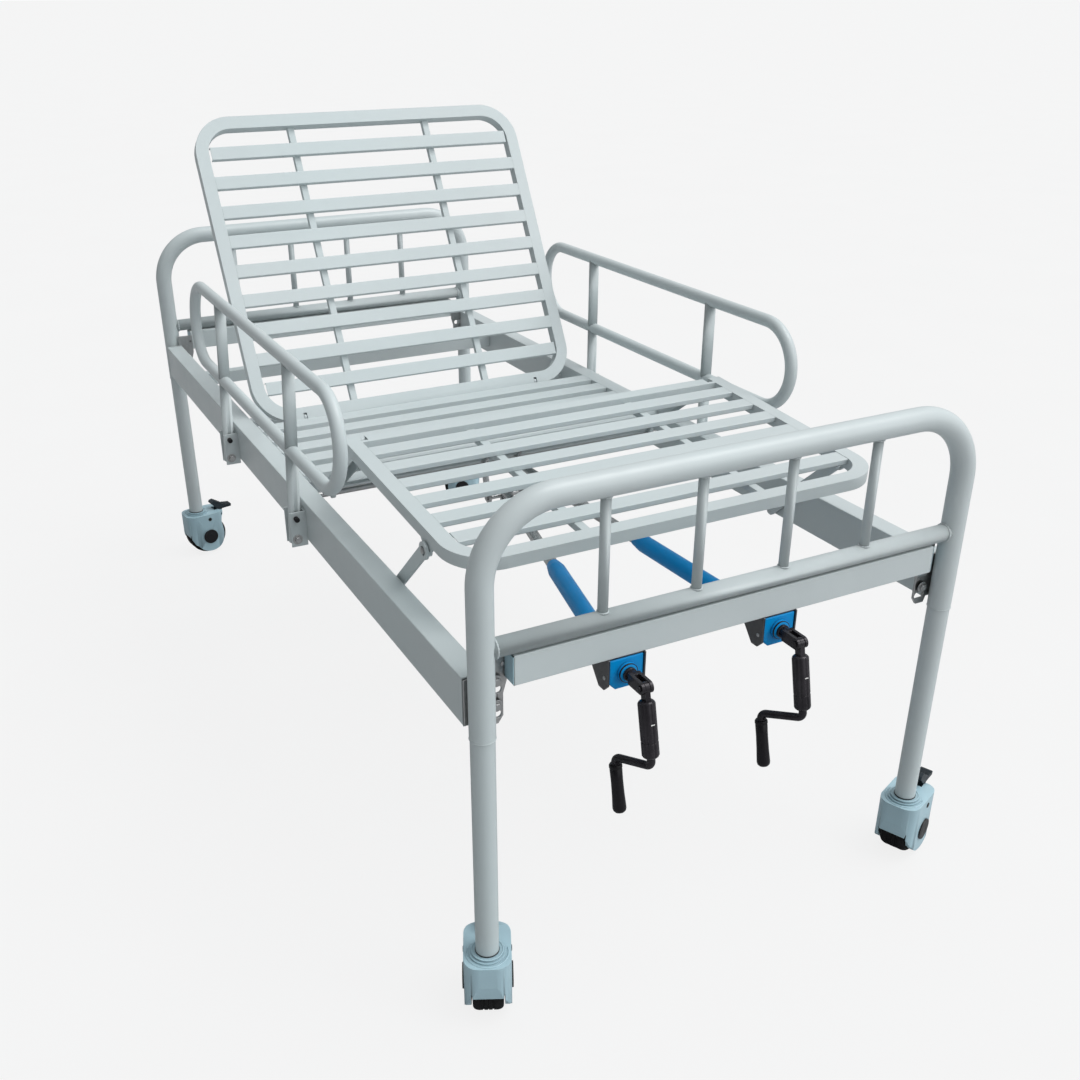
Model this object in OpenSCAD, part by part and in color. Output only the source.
// Two-crank manual care bed: welded tube frame, head and foot bows, raised back
// section, hinged thigh and leg sections, two folding crank handles, two folding
// side guards and four braked casters.
// Frame: +X to the foot end, +Y to the guard on the right as seen from the foot end, +Z up,
// floor at z = 0. The middle of the floor footprint is at the origin.

/* [Overall] */
// Head post centre to foot post centre
post_l = 2000; // [1990:1:2010]
// Post centre to post centre across the bed
post_w = 884; // [880:1:890]
// Height of the mattress deck above the floor
deck_z = 630; // [628:1:634]
// Centreline height of the foot bow
foot_bow_z = 897; // [880:1:930]
// Centreline height of the head bow
head_bow_z = 918; // [880:1:950]

/* [Tubes] */
// Outer radius of the bow tubes
bow_r = 20; // [19:0.5:20]
// Bend radius of the bows, to the centreline
bow_bend = 118; // [90:1:150]
// Outer radius of the lower legs
leg_r = 19; // [18.5:0.1:19.5]
// Outer radius of the crossbars
bar_r = 15; // [12:0.5:16]
// Outer radius of the bow spindles
spindle_r = 8; // [6:0.5:10]
// Outer radius of the side guard tubes
guard_r = 12.5; // [11:0.5:13]
// Tube wall
wall = 1.6; // [1.2:0.1:1.8]

/* [Sections] */
// Raise of the back section in the modelled pose
back_tilt = 60; // [55:1:62]
// Raise of the thigh section in the modelled pose
thigh_tilt = 36; // [30:1:38]
// Downward slope of the leg section in the modelled pose
leg_tilt = 4; // [3:0.5:5]
// Length of the back section
back_l = 722; // [700:1:724]
// Width of the back section
back_w = 818; // [800:1:820]
// Length of the leg section
leg_l = 508; // [490:1:512]
// Width of the leg section
leg_w = 823; // [815:1:824]

/* [Cranks] */
// Crank throw
throw = 70; // [60:1:70]
// Outward lean of the hanging crank arm
crank_lean = 13; // [12:0.5:15]
// Sideways turn of the left-hand throw
throw_a_left = 21; // [21:1:60]
// Sideways turn of the right-hand throw
throw_a_right = 33; // [21:1:60]

/* [Casters] */
// Wheel radius
wheel_r = 55; // [54:0.5:55]
// Trail of the wheel behind the swivel axis
trail = 20; // [19:0.5:21]

/* [Hidden] */
NODES = ["side_rail_left", "side_rail_right", "end_rails", "foot_bow", "foot_crossbar",
  "foot_spindles", "head_bow", "head_crossbar", "head_spindles", "legs", "caster_stems",
  "corner_hook_plates", "frame_bolts", "seat_slats", "under_cross_tubes",
  "hinge_pins", "guard_brackets", "crank_brackets", "bearing_blocks", "screw_housings",
  "back_frame", "back_slats", "back_ribs", "back_drive_arm",
  "thigh_frame", "thigh_slats", "thigh_drive_arm",
  "leg_frame", "leg_slats", "leg_ribs", "knee_pins", "support_links",
  "knee_screw", "knee_push_tube", "back_screw", "back_push_tube",
  "knee_crank_shaft", "knee_crank_arm", "knee_crank_grip",
  "back_crank_shaft", "back_crank_arm", "back_crank_grip",
  "guard_rail_left", "guard_rail_right",
  "caster_fl_hood", "caster_fl_wheel", "caster_fl_axle", "caster_fl_pedal",
  "caster_fr_hood", "caster_fr_wheel", "caster_fr_axle", "caster_fr_pedal",
  "caster_hl_hood", "caster_hl_wheel", "caster_hl_axle", "caster_hl_pedal",
  "caster_hr_hood", "caster_hr_wheel", "caster_hr_axle", "caster_hr_pedal"];
node = "all";
$fn = 48;

steel = [0.86, 0.89, 0.89];
zinc = [0.62, 0.63, 0.64];
blue = [0.0, 0.45, 0.74];
dark = [0.16, 0.15, 0.17];
hood_grey = [0.66, 0.76, 0.80];
black = [0.05, 0.05, 0.05];

// gap between fitted parts
fit = 0.05;
half_l = post_l/2;
half_w = post_w/2;
// from the middle of the posts to the middle of the floor footprint
footprint_shift = [-23.2, -24.39, 0];

// ---- helpers ----
// A span is [low, high] along one axis. Cuts run past the faces they open.
function around(middle, half) = [middle - half, middle + half];
function grow(span, by) = [span[0] - by, span[1] + by];
// span at distances near..far from the centre plane, on side -1 or 1
function side_span(side, near, far) = side > 0 ? [near, far] : [-far, -near];
function unit(v) = v/norm(v);
// 2D point turned anticlockwise about the origin
function turned(p, a) = [p[0]*cos(a) - p[1]*sin(a), p[0]*sin(a) + p[1]*cos(a)];

module placed() translate(footprint_shift) children();
module flip_x(side) mirror([side < 0 ? 1 : 0, 0, 0]) children();
module flip_y(side) mirror([0, side < 0 ? 1 : 0, 0]) children();
// move to an [x, z] point
module at_xz(p) translate([p[0], 0, p[1]]) children();
// turn local z to a unit direction
module along(start, dir) translate(start) rotate([0, acos(dir[2]), atan2(dir[1], dir[0])]) children();
// block from its three spans
module block(x, y, z) translate([x[0], y[0], z[0]]) cube([x[1] - x[0], y[1] - y[0], z[1] - z[0]]);
// block hollowed by an inset per axis; a negative inset opens the ends
module box_tube(x, y, z, inset) difference() {
  block(x, y, z);
  block(grow(x, -inset[0]), grow(y, -inset[1]), grow(z, -inset[2]));
}
// rod between two points, bored when bore_r is given
module rod(from, to, r, bore_r = 0) {
  length = norm(to - from);
  along(from, unit(to - from)) difference() {
    cylinder(h = length, r = r);
    if (bore_r > 0) translate([0, 0, -1]) cylinder(h = length + 2, r = bore_r);
  }
}
module rod_x(from, h, r) translate(from) rotate([0, 90, 0]) cylinder(h = h, r = r);
// rod along a y span, at an [x, z] point
module rod_y(at, span, r) translate([at[0], span[0], at[1]]) rotate([-90, 0, 0])
  cylinder(h = span[1] - span[0], r = r);
// flat x-z profile, extruded over a y span
module plate(span) translate([0, span[1], 0]) rotate([90, 0, 0])
  linear_extrude(span[1] - span[0]) children();
module elbow(bend, r) rotate_extrude(angle = 90, $fn = 96) translate([bend, 0]) circle(r, $fn = 48);

// ---- hinge points, as [x, z] ----
back_hinge = [-255, deck_z - 8];
thigh_hinge = [160, deck_z - 30];
// knee hinge in the thigh frame
knee_local = [265.6, 14.5];
knee = thigh_hinge + turned(knee_local, thigh_tilt);
// support link: lower pin on the side rail, upper pin in the leg frame
link_low = [562, 560];
link_lug = [375, -20];
link_top = knee + turned(link_lug, -leg_tilt);
// pins that end the drive arms: arm length and lean
back_arm_tip = back_hinge + turned([0, -85], -22.5);
thigh_arm_tip = thigh_hinge + turned([0, -72], 16.5);
back_pin_r = 4;
thigh_pin_r = 6;
knee_pin_r = 5;
link_pin_r = 5;
// distance of the back hinges from the centre plane
back_hinge_y = 300;

// ---- fixed frame ----
rail_w = 40;
rail_h = 80;
rail_wall = 2;
rail_in = half_w - rail_w/2;
rail_out = half_w + rail_w/2;
hook_plate_t = 4;
rail_end = half_l - bow_r - hook_plate_t;
end_rail_z = [617, 666];
bow_wall = 1.8;
bow_foot_z = 537;
crossbar_z = 682;
spindle_pitch = 164;
spindle_wall = 1.2;
leg_foot_z = 131;
leg_bore_r = 16.5;
stem_r = 8;

module side_rail(side) color(steel) difference() {
  box_tube(around(0, rail_end), side_span(side, rail_in, rail_out), [deck_z - rail_h, deck_z],
    [-1, rail_wall, rail_wall]);
  for (hole = [[thigh_hinge, thigh_pin_r], [link_low, link_pin_r]])
    rod_y(hole[0], side_span(side, rail_in - 1, rail_in + 3), hole[1] + fit);
}
module end_rails() color(steel) for (end = [-1, 1])
  box_tube(side_span(end, half_l - bow_r, half_l + 10), around(0, 395), end_rail_z, [wall, -1, wall]);

// inverted U of solid rod
module bow_solid(r, top_z, foot_z) {
  for (side = [-1, 1]) {
    translate([0, side*half_w, foot_z]) cylinder(h = top_z - bow_bend - foot_z, r = r);
    flip_y(side) translate([0, half_w - bow_bend, top_z - bow_bend]) rotate([90, 0, 90])
      elbow(bow_bend, r);
  }
  rod_y([0, top_z], around(0, half_w - bow_bend), r);
}
module bow(top_z) difference() {
  bow_solid(bow_r, top_z, bow_foot_z);
  bow_solid(bow_r - bow_wall, top_z, bow_foot_z - 2);
}
module crossbar() difference() {
  rod([0, -half_w, crossbar_z], [0, half_w, crossbar_z], bar_r, bar_r - wall);
  for (side = [-1, 1])
    translate([0, side*half_w, crossbar_z - 40]) cylinder(h = 80, r = bow_r + fit);
}
// four uprights, coped to the crossbar and the bow
module spindles(top_z) for (i = [-1.5:1:1.5]) {
  y = i*spindle_pitch;
  difference() {
    rod([0, y, crossbar_z], [0, y, top_z], spindle_r, spindle_r - spindle_wall);
    rod_y([0, crossbar_z], around(y, 20), bar_r + fit);
    rod_y([0, top_z], around(y, 20), bow_r + fit);
  }
}
module foot_bow() color(steel) translate([half_l, 0, 0]) bow(foot_bow_z);
module foot_crossbar() color(steel) translate([half_l, 0, 0]) crossbar();
module foot_spindles() color(steel) translate([half_l, 0, 0]) spindles(foot_bow_z);
module head_bow() color(steel) translate([-half_l, 0, 0]) bow(head_bow_z);
module head_crossbar() color(steel) translate([-half_l, 0, 0]) crossbar();
module head_spindles() color(steel) translate([-half_l, 0, 0]) spindles(head_bow_z);

module at_posts() for (x = [-half_l, half_l], y = [-half_w, half_w]) translate([x, y, 0]) children();
// lower legs, each with a spigot that enters the bow
module legs() color(steel) at_posts() difference() {
  union() {
    translate([0, 0, leg_foot_z]) cylinder(h = bow_foot_z - 0.1 - leg_foot_z, r = leg_r);
    translate([0, 0, 500]) cylinder(h = 110, r = bow_r - 1.9);
  }
  translate([0, 0, leg_foot_z - 1]) cylinder(h = 481, r = leg_bore_r);
}
module caster_stems() color(zinc) at_posts() {
  translate([0, 0, leg_foot_z]) cylinder(h = 50, r = leg_bore_r - fit);
  translate([0, 0, 110.5]) cylinder(h = 22, r = stem_r);
}

// children modelled at the foot end on the +Y side, mirrored to all corners
module each_corner() for (end = [-1, 1], side = [-1, 1]) flip_y(side) flip_x(end) children();
// hook plate outline, [y, z]
hook_outline = [
  [392, 656], [430, 656], [430, 632], [461, 628], [461, 552], [428, 552],
  [424, 540], [406, 540], [398, 552], [398, 590], [392, 610]
];
// plate on each rail end, with two slots that are round at the inner end and a small hole
module corner_hook_plates() color(zinc) each_corner() translate([rail_end, 0, 0]) difference() {
  rotate([90, 0, 90]) linear_extrude(hook_plate_t) polygon(hook_outline);
  for (z = [598, 556]) {
    rod_x([-1, 407, z], 6, 6);
    block([-1, 6], [407, 421], around(z, 5.6));
  }
  rod_x([-1, 398, 640], 6, 3);
}
bolt_r = 6;
bolt_head = 4;
module frame_bolts() color(zinc) each_corner() translate([half_l - bow_r, 0, 0])
  for (z = [616, 574]) {
    rod_x([0, 411, z], bolt_head, bolt_r, $fn = 6);
    rod_x([0, 411, z], bolt_head + 3, bolt_r*0.55);
  }

// slat: shallow channel, top face at z = 0
module slat(x, width, half, depth) difference() {
  block([x, x + width], around(0, half), [-depth, 0]);
  block([x + wall, x + width - wall], around(0, half + 1), [-depth - 1, -wall]);
}
module seat_slats() color(steel) translate([0, 0, deck_z])
  for (i = [0:4]) slat(-222 + i*74, 44, rail_in - 0.2, 18);

cross_tube_w = 30;
cross_tube_z = [572, 602];
// head-side faces; the first tube carries the back hinge
cross_tube_x = [-365, 60, -800];
// L-shaped lugs from the first cross tube to the back hinge
module hinge_lugs() for (y = [-back_hinge_y, back_hinge_y]) difference() {
  plate(around(y, 3)) {
    head_x = cross_tube_x[0] + cross_tube_w;
    lug = around(back_hinge[0], 7);
    translate(back_hinge) circle(7);
    polygon([[lug[0], back_hinge[1]], [lug[1], back_hinge[1]], [lug[1], 580],
      [head_x, 580], [head_x, 600], [lug[0], 600]]);
  }
  rod_y(back_hinge, around(y, 5), back_pin_r + fit);
}
module under_cross_tubes() color(steel) {
  for (x = cross_tube_x)
    box_tube([x, x + cross_tube_w], around(0, rail_in - 0.1), cross_tube_z, [2, -1.1, 2]);
  hinge_lugs();
}
// two short back pins and a full-width thigh tube
module hinge_pins() color(zinc) {
  for (y = [-back_hinge_y, back_hinge_y]) rod_y(back_hinge, around(y, 16), back_pin_r);
  difference() {
    rod_y(thigh_hinge, around(0, rail_in + 2), thigh_pin_r);
    rod_y(thigh_hinge, around(0, rail_in + 3), 4.2);
  }
}

// ---- section parts ----
// rectangle from x = 0, centred on y; near_r rounds the x = 0 end, far_r the other
module rounded_rect(length, width, near_r, far_r) {
  // corner radius, start of the corner cut, centre of the corner circle
  ends = [[near_r, -1, near_r], [far_r, length - far_r, length - far_r]];
  difference() {
    translate([0, -width/2]) square([length, width]);
    for (end = ends, side = [-1, 1]) if (end[0] > 0)
      translate([end[1], side_span(side, width/2 - end[0], width/2 + 1)[0]]) square(end[0] + 1);
  }
  for (end = ends, side = [-1, 1]) if (end[0] > 0)
    translate([end[2], side*(width/2 - end[0])]) circle(end[0], $fn = 96);
}
module rim(length, width, near_r, far_r, band) difference() {
  rounded_rect(length, width, near_r, far_r);
  translate([band, 0])
    rounded_rect(length - 2*band, width - 2*band, max(near_r - band, 0), max(far_r - band, 0));
}
// channel-section frame, open underneath, top face at z = 0
module channel_frame(length, width, near_r, far_r, band, depth) difference() {
  translate([0, 0, -depth]) linear_extrude(depth) rim(length, width, near_r, far_r, band);
  translate([wall, 0, -depth - 1]) linear_extrude(depth + 1 - wall)
    rim(length - 2*wall, width - 2*wall, max(near_r - wall, 0), max(far_r - wall, 0), band - 2*wall);
}
// pair of lengthwise ribs, open underneath
module ribs(x, z) for (y = [-172, 172]) difference() {
  block(x, around(y, 8), z);
  block(grow(x, 1), around(y, 6.4), [z[0] - 1, z[1] - 1.55]);
}

// ---- back section: local x from hinge to head, top face at local z = 0 ----
back_band = 29;
back_depth = 24;
back_slat_depth = 12;
// hinge pin in the section's own frame
back_pin = [7, -8];
module back_at() at_xz(back_hinge) rotate([0, back_tilt, 0]) mirror([1, 0, 0])
  at_xz(-back_pin) children();
module back_frame() color(steel) back_at() difference() {
  union() {
    channel_frame(back_l, back_w, 90, 90, back_band, back_depth);
    for (y = [-back_hinge_y, back_hinge_y])
      block([2, back_band - 0.1], around(y, 20), [0.1 - back_depth, -0.1]);
  }
  for (y = [-back_hinge_y, back_hinge_y]) {
    block([-1, 15.5], around(y, 4), [-30, 1]);
    rod_y(back_pin, around(y, 17), back_pin_r + 0.08);
  }
}
// the first and last slats are shorter, between the rounded corners
module back_slats() color(steel) back_at() for (k = [0:8])
  slat(67.5 + k*69.3, 30, back_w/2 - (k == 0 || k == 8 ? 34 : back_band + fit), back_slat_depth);
module back_ribs() color(steel) back_at()
  ribs([back_band + fit, back_l - back_band - fit], [-back_depth, -back_slat_depth - fit]);
// two plates and a cross pin below the hinge
module back_drive_arm() color(zinc) translate([0, back_y, 0]) {
  for (side = [-1, 1]) plate(side_span(side, 11.6, 16.6)) {
    translate(back_arm_tip) circle(11);
    polygon([back_arm_tip + [-10.5, 2], back_arm_tip + [10, -4], back_hinge + [2, -24],
      back_hinge + [-11.4, -13.6], back_hinge + [-24.9, 9.75], back_hinge + [-32, -2]]);
  }
  rod_y(back_arm_tip, around(0, 19), 5);
}

// ---- thigh section: local x from thigh hinge to knee, hinge at the local origin ----
thigh_half_w = 381;
thigh_band = 28;
thigh_top = 30;
module thigh_at() at_xz(thigh_hinge) rotate([0, -thigh_tilt, 0]) children();
module thigh_frame() color(steel) thigh_at() difference() {
  union() {
    translate([6, 0, thigh_top])
      channel_frame(knee_local[0] - 28, 2*thigh_half_w, 0, 0, thigh_band, 22);
    for (side = [-1, 1]) {
      cheek = side_span(side, thigh_half_w - 8, thigh_half_w);
      // knee tongue
      plate(cheek) {
        translate(knee_local) circle(9);
        polygon([[knee_local[0] - 30, 8], knee_local - [0, 9], knee_local + [0, 9],
          [knee_local[0] - 30, thigh_top]]);
      }
      // hinge ear
      plate(cheek) {
        circle(11);
        polygon([[-11, 0], [11, 0], [40, 20], [6, thigh_top], [6, 20]]);
      }
    }
  }
  for (y = [-360, 360]) {
    rod_y([0, 0], around(y, 25), thigh_pin_r + 0.1);
    rod_y(knee_local, around(y, 25), knee_pin_r + 0.1);
  }
}
module thigh_slats() color(steel) thigh_at() translate([0, 0, thigh_top])
  for (k = [0:1]) slat(66 + k*70, 32, thigh_half_w - thigh_band - fit, 12);
// two plates below the thigh hinge, footed on the thigh frame, and a cross pin
module thigh_drive_arm() color(zinc) {
  difference() {
    for (side = [-1, 1]) plate(side_span(side, 36, 42)) {
      translate(thigh_arm_tip) circle(11);
      translate(thigh_hinge) circle(9.8);
      polygon([thigh_hinge + [-9.6, -1], thigh_hinge + [9.6, -1],
        thigh_arm_tip + [11, 2], thigh_arm_tip + [-10.5, -3]]);
      translate(thigh_hinge) rotate(thigh_tilt)
        polygon([[-9.6, 0], [9.6, -2], [34, 7.8], [6.5, 7.8]]);
    }
    rod_y(thigh_hinge, around(0, 60), thigh_pin_r + 0.1);
  }
  rod_y(thigh_arm_tip, around(0, 46), 5);
}

// ---- leg section: local x from knee to foot, knee at the local origin ----
leg_band = 28;
leg_depth = 22;
leg_slat_depth = 10;
link_lug_pin_r = 4;
module leg_at() at_xz(knee) rotate([0, leg_tilt, 0]) children();
// start of the leg panel, on its top face
module leg_panel_at() leg_at() translate([-8, 0, 15]) children();
module leg_frame() color(steel) difference() {
  union() {
    leg_panel_at() channel_frame(leg_l, leg_w, 0, 80, leg_band, leg_depth);
    leg_at() for (side = [-1, 1]) {
      // knee block
      block([-7.9, 16], side_span(side, 384, 411), [-6.9, 14.9]);
      // support link lug
      plate(side_span(side, 405.5, 411.4)) {
        translate(link_lug) circle(11);
        polygon([[link_lug[0] - 24, -6], link_lug - [11, 0], link_lug + [11, 0],
          [link_lug[0] + 24, -6]]);
      }
    }
  }
  leg_at() for (side = [-1, 1]) {
    rod_y([0, 0], around(side*400, 20), knee_pin_r + 0.1);
    rod_y(link_lug, around(side*408, 8), link_lug_pin_r + fit);
    // room for the thigh tongue
    block([-12, 11.5], side_span(side, 370, 383.5), [-12, 20]);
  }
}
// the last slat is shorter, between the rounded corners
module leg_slats() color(steel) leg_panel_at() for (k = [0:5])
  slat(52.6 + k*70.3, 34, leg_w/2 - (k == 5 ? 29.6 : leg_band + fit), leg_slat_depth);
module leg_ribs() color(steel) leg_panel_at()
  ribs([leg_band + fit, leg_l - leg_band - 2*fit], [-leg_depth, -leg_slat_depth - fit]);
module knee_pins() color(zinc) leg_at() for (side = [-1, 1]) {
  rod_y([0, 0], side_span(side, 369, 412.5), knee_pin_r);
  rod_y(link_lug, side_span(side, 402, 419), link_lug_pin_r);
}
// flat support link each side; its upper eye is a clearance eye
module support_links() color(steel) for (side = [-1, 1]) {
  difference() {
    plate(side_span(side, 413, 418)) {
      link = link_top - link_low;
      translate(link_low) circle(12);
      translate(link_top) circle(15);
      translate(link_low) rotate(atan2(link[1], link[0])) translate([0, -11]) square([norm(link), 22]);
    }
    rod_y(link_top, around(side*415, 6), 8);
  }
  rod_y(link_low, side_span(side, 409, 424), link_pin_r);
}

// ---- drives: start in the bearing block, run toward the head ----
knee_y = -207;
back_y = 78;
block_z = 590;
block_foot_x = 1010;
knee_start = [985, knee_y, block_z];
back_start = [985, back_y, block_z];
knee_dir = unit([-1, 0.2585, -0.0655]);
back_dir = unit([-1, 0, -0.0402]);
// where screw and housing begin, along the drive
screw_from = 24;
shaft_r = 8;

module each_drive() for (y = [knee_y, back_y]) translate([0, y, 0]) children();
// top plate, lip at its head side and two cheeks
module crank_brackets() color(zinc) each_drive() {
  block([960, 1008], around(0, 33), [614, 617]);
  block([952, 960], around(0, 33), [608, 617]);
  for (side = [-1, 1]) plate(side_span(side, 30.1, 33))
    polygon([[960, 617], [1012, 617], [1012, 572], [1000, 560], [985, 560], [960, 590]]);
}
// chamfered lower corners, bored for the crank shaft
module bearing_blocks() color(blue) each_drive() difference() {
  translate([block_foot_x, 0, 0]) rotate([90, 0, -90]) linear_extrude(42)
    polygon([[-30, 613.9], [30, 613.9], [30, 574], [18, 562], [-18, 562], [-30, 574]]);
  rod_x([960, 0, block_z], 60, shaft_r + 0.1);
}
// sleeve with a tapered end that narrows onto the push tube; points are [radius, distance]
module housing(start, dir, length) along(start, dir) rotate_extrude() polygon([
  [13.6, screw_from], [16.5, screw_from], [16.5, length], [12.8, length + 26],
  [11.08, length + 26], [11.08, length - 4], [13.6, length - 4]
]);
module screw_housings() color(blue) {
  housing(knee_start, knee_dir, 375);
  housing(back_start, back_dir, 372);
}
// rod with six ridges near its start
module screw(start, dir) {
  rod(start + dir*screw_from, start + dir*400, 6);
  for (i = [0:5]) rod(start + dir*(40 + i*4), start + dir*(42 + i*4), 6.6);
}
// tube from a distance along the drive to a slotted end plate on the arm pin
// slot_z: plate slot height span about the drive axis; slot_shift: slot offset in x
module push_tube(start, dir, from, pin, slot_shift, slot_z) {
  end = start + dir*((pin[0] - start[0])/dir[0]);
  difference() {
    union() {
      rod(start + dir*from, end - dir*14, 11, 9.2);
      // bush at the open end
      rod(start + dir*from, start + dir*(from + 18), 10.5, 6.2);
      translate(end) plate([-5, 5])
        polygon([[-15, slot_z[0] - 5], [15, slot_z[0] - 5], [15, 9], [28, 7], [28, 10],
          [15, slot_z[1] + 5], [-15, slot_z[1] + 5]]);
      // solid plug behind the plate
      rod(end - dir*34, end - dir*11, 10.9);
    }
    at_xz([end[0] + slot_shift, end[2]]) {
      block(around(0, 7.4), around(0, 400), grow(slot_z, -6));
      for (z = grow(slot_z, -7.5)) rod_y([0, z], around(0, 400), 7.5);
    }
  }
}
module knee_screw() color(zinc) screw(knee_start, knee_dir);
module back_screw() color(zinc) screw(back_start, back_dir);
module knee_push_tube() color(zinc)
  push_tube(knee_start, knee_dir, 300, thigh_arm_tip, 0, [-20, 12]);
module back_push_tube() color(zinc)
  push_tube(back_start, back_dir, 270, back_arm_tip, 1, [-14, 30]);

// ---- cranks ----
knuckle_x = 1062;
knuckle_pin_r = 3.5;
fork_x = 1030;
// centreline height of the sideways throw, below the knuckle
throw_z = -126;
crank_bend = 9;
crank_bend_r = 6.5;
handle_r = 5;

module crank_shaft(y) color(dark) translate([0, y, block_z]) {
  rod_x([980, 0, 0], 32, shaft_r);
  rod_x([block_foot_x + 0.2, 0, 0], 7, 16);
  rod_x([1017, 0, 0], 14, 9);
  // fork
  for (side = [-1, 1]) difference() {
    plate(side_span(side, 4.6, 9.6)) {
      translate([knuckle_x, 0]) circle(9.5);
      translate([fork_x, -9.5]) square([knuckle_x - fork_x, 19]);
    }
    rod_y([knuckle_x, 0], around(0, 12), knuckle_pin_r + fit);
  }
  block([fork_x, fork_x + 8], around(0, 9), around(0, 9));
}
// hanging arm frame: knuckle at the origin, arm along local -z
module knuckle_at(y) translate([knuckle_x, y, block_z]) rotate([0, -crank_lean, 0]) children();
module crank_arm(y, turn) color(dark) knuckle_at(y) {
  // tongue and knuckle pin
  plate([-4.4, 4.4]) {
    circle(9);
    translate([-7, -22]) square([14, 22]);
  }
  rod_y([0, 0], around(0, 12), knuckle_pin_r);
  translate([0, 0, -110]) cylinder(h = 90, r = 13.5);
  translate([0, 0, throw_z + crank_bend]) cylinder(h = 16 - crank_bend, r = 6.7);
  // throw between two elbows, then the handle rod
  rotate([0, 0, 180 + turn]) {
    translate([crank_bend, 0, throw_z + crank_bend]) rotate([90, 0, 0]) rotate([0, 0, 180])
      elbow(crank_bend, crank_bend_r);
    rod_x([crank_bend, 0, throw_z], throw - 2*crank_bend, 6.3);
    translate([throw - crank_bend, 0, throw_z - crank_bend]) rotate([90, 0, 0])
      elbow(crank_bend, crank_bend_r);
    translate([throw, 0, -137]) cylinder(h = 11 - crank_bend, r = 8.5);
    translate([throw, 0, -208]) cylinder(h = 71, r = handle_r);
  }
}
// sleeve over the handle rod, with a flattened dome below
module crank_grip(y, turn) color(dark) knuckle_at(y)
  translate([-throw*cos(turn), -throw*sin(turn), -212]) difference() {
    union() {
      cylinder(h = 74.5, r = 11);
      sphere(11);
    }
    translate([0, 0, 2]) cylinder(h = 90, r = handle_r + 0.08);
    translate([0, 0, -30]) cylinder(h = 23, r = 30);
  }

// ---- side guards ----
// side, x midway between the brackets, inward lean about the lower bolts
guard_left = [-1, -15, 3];
guard_right = [1, -32, 0];
guard_half_pitch = 249;
guard_y = 482;
guard_bolt_z = 556;
guard_bolt_r = 4;
// loop: length and height between centrelines (ends are half turns), lower tube height
guard_l = 1030;
guard_h = 173;
guard_low_z = 731;

// outward-facing channel on the rail
module guard_bracket() difference() {
  block([-18, 18], [rail_out, guard_y + 12], [541, 612]);
  block([-15, 15], [rail_out + 3, guard_y + 20], [540, 613]);
  for (z = [guard_bolt_z, 600]) rod_x([-20, guard_y, z], 40, guard_bolt_r + fit);
}
// brackets with their lower bolts
module guard_brackets() color(steel)
  for (guard = [guard_left, guard_right], x = around(guard[1], guard_half_pitch)) {
    translate([x, 0, 0]) flip_y(guard[0]) guard_bracket();
    rod_x([x - 20, guard[0]*guard_y, guard_bolt_z], 40, guard_bolt_r - fit);
  }
// closed loop: two straight tubes and two half-turn ends, butted with a hairline joint
module guard_loop(r, tube_wall) {
  straight = guard_l - guard_h;
  length = straight - 0.04;
  for (s = [-1, 1]) {
    translate([-length/2, 0, s*guard_h/2]) rotate([0, 90, 0]) difference() {
      cylinder(h = length, r = r);
      translate([0, 0, -1]) cylinder(h = length + 2, r = r - tube_wall);
    }
    flip_x(s) translate([straight/2, 0, 0]) rotate([90, 0, 0]) rotate([0, 0, -90])
      rotate_extrude(angle = 180, $fn = 96) translate([guard_h/2, 0]) difference() {
        circle(r);
        circle(r - tube_wall);
      }
  }
}
module guard_rail(guard) color(steel) {
  y = guard[0]*guard_y;
  top_z = guard_low_z + guard_h;
  translate([0, y, guard_bolt_z]) rotate([guard[0]*guard[2], 0, 0]) translate([0, -y, -guard_bolt_z]) {
    translate([guard[1] + 18, y, guard_low_z + guard_h/2]) guard_loop(guard_r, 1.4);
    // uprights, coped to both loop tubes
    for (x = around(guard[1], guard_half_pitch)) difference() {
      rod([x, y, 545], [x, y, top_z], guard_r - 0.5, guard_r - 2);
      for (z = [guard_low_z, top_z]) rod_x([x - 30, y, z], 60, guard_r + fit);
      rod_x([x - 30, y, guard_bolt_z], 60, guard_bolt_r + fit);
    }
  }
}

// ---- casters: swivel axis at the local origin, wheel trailing along local +x ----
// x, y, trail direction; f / h = foot / head end, l / r = -Y / +Y side
caster_fl = [half_l, -half_w, 155];
caster_fr = [half_l, half_w, 113];
caster_hl = [-half_l, -half_w, 100];
caster_hr = [-half_l, half_w, 250];
wheel_at = [trail, wheel_r];
axle_r = 6;
pedal_at = [64, 113];
pedal_pin_r = 3.5;
// side outline of the hood, [x, z]
hood_outline = [
  [-39, 124], [-39, 84], [-36, 56], [-26, 36], [-8, 26], [20, 50],
  [66, 60], [60, 92], [63, 106], [74, 117], [72, 121], [60, 124]
];
// side outline of the pedal, [x, z]
pedal_outline = [
  [59, 113], [69, 113], [76, 122], [104, 123], [105, 130],
  [80, 134], [54, 151], [46, 148], [44, 143], [60, 126]
];

module caster_at(caster) translate([caster[0], caster[1], 0]) rotate([0, 0, caster[2]]) children();
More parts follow.
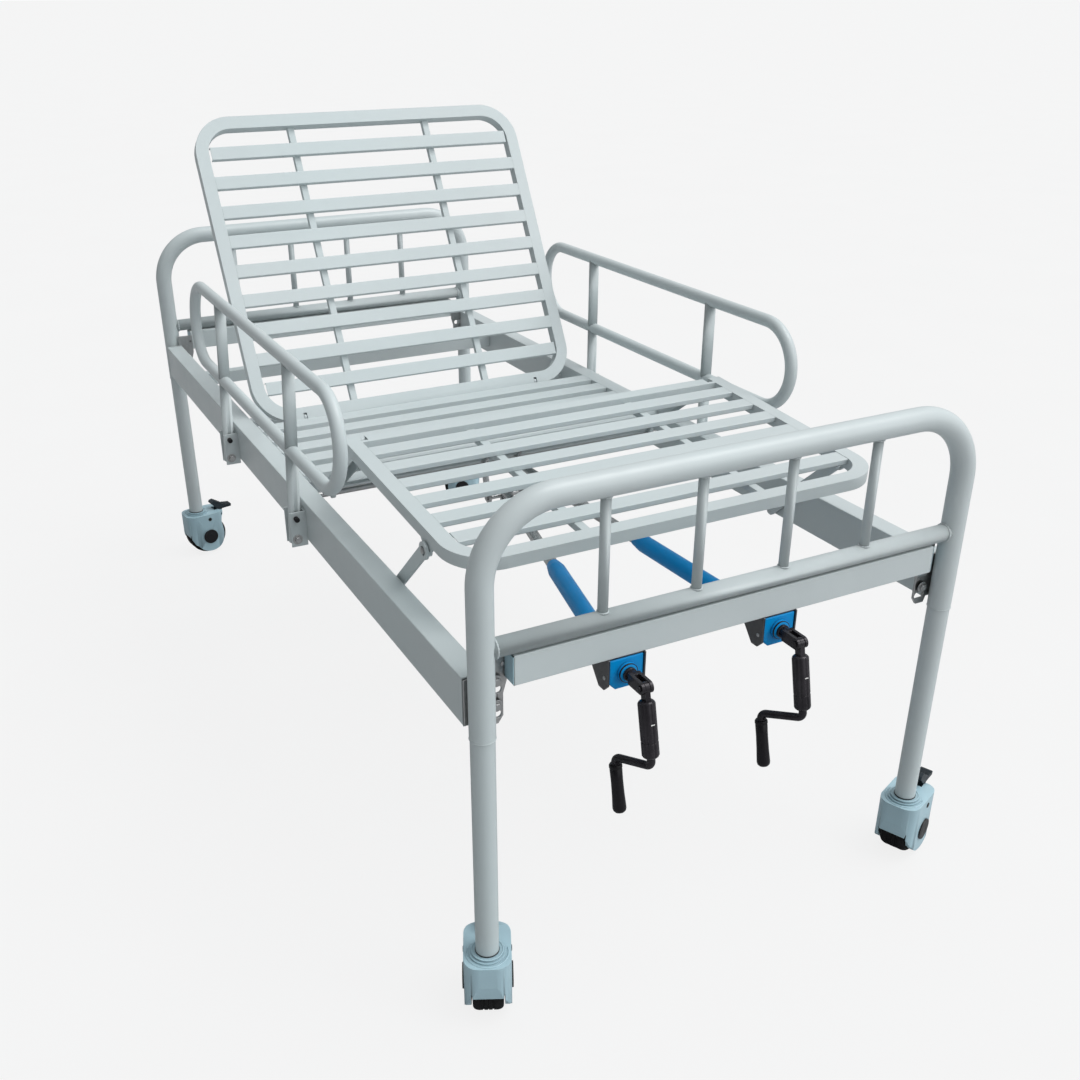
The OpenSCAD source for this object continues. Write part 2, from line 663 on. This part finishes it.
// plan of the hood: round nose corners, softly rounded tail
module hood_plan() {
  for (s = [-1, 1]) translate([-13, s*13]) circle(26, $fn = 72);
  translate([-39, -13]) square([39, 26]);
  translate([-13, -39]) square([14, 78]);
  translate([0, -39]) square([44, 78]);
  for (s = [-1, 1]) translate([44, s*9]) circle(30, $fn = 72);
  translate([40, -9]) square([34, 18]);
}
module caster_hood(caster) color(hood_grey) caster_at(caster) difference() {
  union() {
    intersection() {
      plate([-39, 39]) {
        polygon(hood_outline);
        translate(wheel_at) circle(46);
      }
      translate([0, 0, -1]) linear_extrude(140) hood_plan();
    }
    translate([0, 0, 123]) cylinder(h = 4, r = 30);
    translate([0, 0, 123]) cylinder(h = 7, r = 25);
  }
  // wheel space
  at_xz(wheel_at) rotate([90, 0, 0]) cylinder(h = 55, r = 56, center = true);
  block(around(trail, 56), around(0, 27.5), [-5, wheel_r]);
  block([-60, 0], around(0, 27.5), [-5, 58]);
  // stem, axle and pedal openings
  translate([0, 0, 90]) cylinder(h = 60, r = stem_r + 0.08);
  rod_y(wheel_at, around(0, 45), axle_r + fit);
  block([50, 90], around(0, 13), [106.5, 130]);
  rod_y(pedal_at, around(0, 45), pedal_pin_r + fit);
}
// hub, web, stepped rim and twin-lobed tread
module caster_wheel(caster) color(black) caster_at(caster) at_xz(wheel_at) rotate([90, 0, 0])
  difference() {
    rotate_extrude($fn = 96) {
      translate([8, -27]) square([8, 54]);
      translate([14, -10]) square([26, 20]);
      translate([36, -20]) square([10, 40]);
      translate([44, -25]) square([5, 50]);
      translate([46, -21]) square([wheel_r - 46, 42]);
      for (s = [-1, 1]) translate([wheel_r - 6, s*20]) circle(6, $fn = 32);
    }
    translate([0, 0, -40]) cylinder(h = 80, r = axle_r + 0.1);
  }
// axle with a disc at each end
module caster_axle(caster) color(black) caster_at(caster) {
  rod_y(wheel_at, around(0, 40), axle_r);
  for (side = [-1, 1]) rod_y(wheel_at, side_span(side, 39.1, 42), 21);
}
module caster_pedal(caster) color(black) caster_at(caster) difference() {
  plate([-12, 12]) {
    translate(pedal_at) circle(5);
    polygon(pedal_outline);
  }
  rod_y(pedal_at, around(0, 45), pedal_pin_r);
  // grooves in the upper face
  for (i = [0:2]) translate([82 + i*7, 0, 133 - i*1.3]) cube([2.5, 30, 3], center = true);
}

function shown(name) = node == "all" || node == name;

if (shown("side_rail_left")) placed() side_rail(-1);
if (shown("side_rail_right")) placed() side_rail(1);
if (shown("end_rails")) placed() end_rails();
if (shown("foot_bow")) placed() foot_bow();
if (shown("foot_crossbar")) placed() foot_crossbar();
if (shown("foot_spindles")) placed() foot_spindles();
if (shown("head_bow")) placed() head_bow();
if (shown("head_crossbar")) placed() head_crossbar();
if (shown("head_spindles")) placed() head_spindles();
if (shown("legs")) placed() legs();
if (shown("caster_stems")) placed() caster_stems();
if (shown("corner_hook_plates")) placed() corner_hook_plates();
if (shown("frame_bolts")) placed() frame_bolts();
if (shown("seat_slats")) placed() seat_slats();
if (shown("under_cross_tubes")) placed() under_cross_tubes();
if (shown("hinge_pins")) placed() hinge_pins();
if (shown("guard_brackets")) placed() guard_brackets();
if (shown("crank_brackets")) placed() crank_brackets();
if (shown("bearing_blocks")) placed() bearing_blocks();
if (shown("screw_housings")) placed() screw_housings();
if (shown("back_frame")) placed() back_frame();
if (shown("back_slats")) placed() back_slats();
if (shown("back_ribs")) placed() back_ribs();
if (shown("back_drive_arm")) placed() back_drive_arm();
if (shown("thigh_frame")) placed() thigh_frame();
if (shown("thigh_slats")) placed() thigh_slats();
if (shown("thigh_drive_arm")) placed() thigh_drive_arm();
if (shown("leg_frame")) placed() leg_frame();
if (shown("leg_slats")) placed() leg_slats();
if (shown("leg_ribs")) placed() leg_ribs();
if (shown("knee_pins")) placed() knee_pins();
if (shown("support_links")) placed() support_links();
if (shown("knee_screw")) placed() knee_screw();
if (shown("knee_push_tube")) placed() knee_push_tube();
if (shown("back_screw")) placed() back_screw();
if (shown("back_push_tube")) placed() back_push_tube();
if (shown("knee_crank_shaft")) placed() crank_shaft(knee_y);
if (shown("knee_crank_arm")) placed() crank_arm(knee_y, throw_a_left);
if (shown("knee_crank_grip")) placed() crank_grip(knee_y, throw_a_left);
if (shown("back_crank_shaft")) placed() crank_shaft(back_y);
if (shown("back_crank_arm")) placed() crank_arm(back_y, throw_a_right);
if (shown("back_crank_grip")) placed() crank_grip(back_y, throw_a_right);
if (shown("guard_rail_left")) placed() guard_rail(guard_left);
if (shown("guard_rail_right")) placed() guard_rail(guard_right);
if (shown("caster_fl_hood")) placed() caster_hood(caster_fl);
if (shown("caster_fl_wheel")) placed() caster_wheel(caster_fl);
if (shown("caster_fl_axle")) placed() caster_axle(caster_fl);
if (shown("caster_fl_pedal")) placed() caster_pedal(caster_fl);
if (shown("caster_fr_hood")) placed() caster_hood(caster_fr);
if (shown("caster_fr_wheel")) placed() caster_wheel(caster_fr);
if (shown("caster_fr_axle")) placed() caster_axle(caster_fr);
if (shown("caster_fr_pedal")) placed() caster_pedal(caster_fr);
if (shown("caster_hl_hood")) placed() caster_hood(caster_hl);
if (shown("caster_hl_wheel")) placed() caster_wheel(caster_hl);
if (shown("caster_hl_axle")) placed() caster_axle(caster_hl);
if (shown("caster_hl_pedal")) placed() caster_pedal(caster_hl);
if (shown("caster_hr_hood")) placed() caster_hood(caster_hr);
if (shown("caster_hr_wheel")) placed() caster_wheel(caster_hr);
if (shown("caster_hr_axle")) placed() caster_axle(caster_hr);
if (shown("caster_hr_pedal")) placed() caster_pedal(caster_hr);
